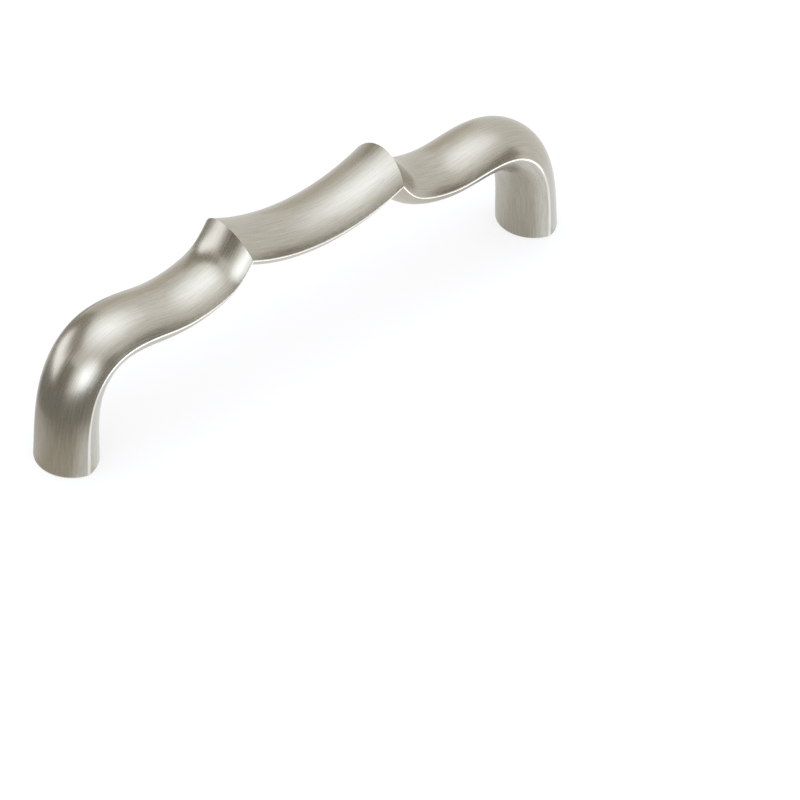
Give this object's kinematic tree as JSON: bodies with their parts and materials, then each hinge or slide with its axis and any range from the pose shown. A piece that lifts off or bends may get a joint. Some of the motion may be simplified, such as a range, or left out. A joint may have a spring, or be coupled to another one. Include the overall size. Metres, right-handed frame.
{
  "type": "bar pull",
  "caption": "Wavy bar pull with a lens-shaped section, peaked corners either side of a sagging grip, and legs that stand on flat feet with tapped screw holes.",
  "frame": {"origin": "on the mounting face, midway between the two screw holes", "axes": "+X along the row of screw holes, +Z out of the mounting face towards the grip, front edge towards -Y"},
  "size_m": [0.106, 0.0124, 0.0305],
  "materials": {
    "nickel": "satin brushed nickel plate on a zinc casting"
  },
  "bodies": {
    "root": {"pull_body": "nickel"}
  },
  "joints": []
}
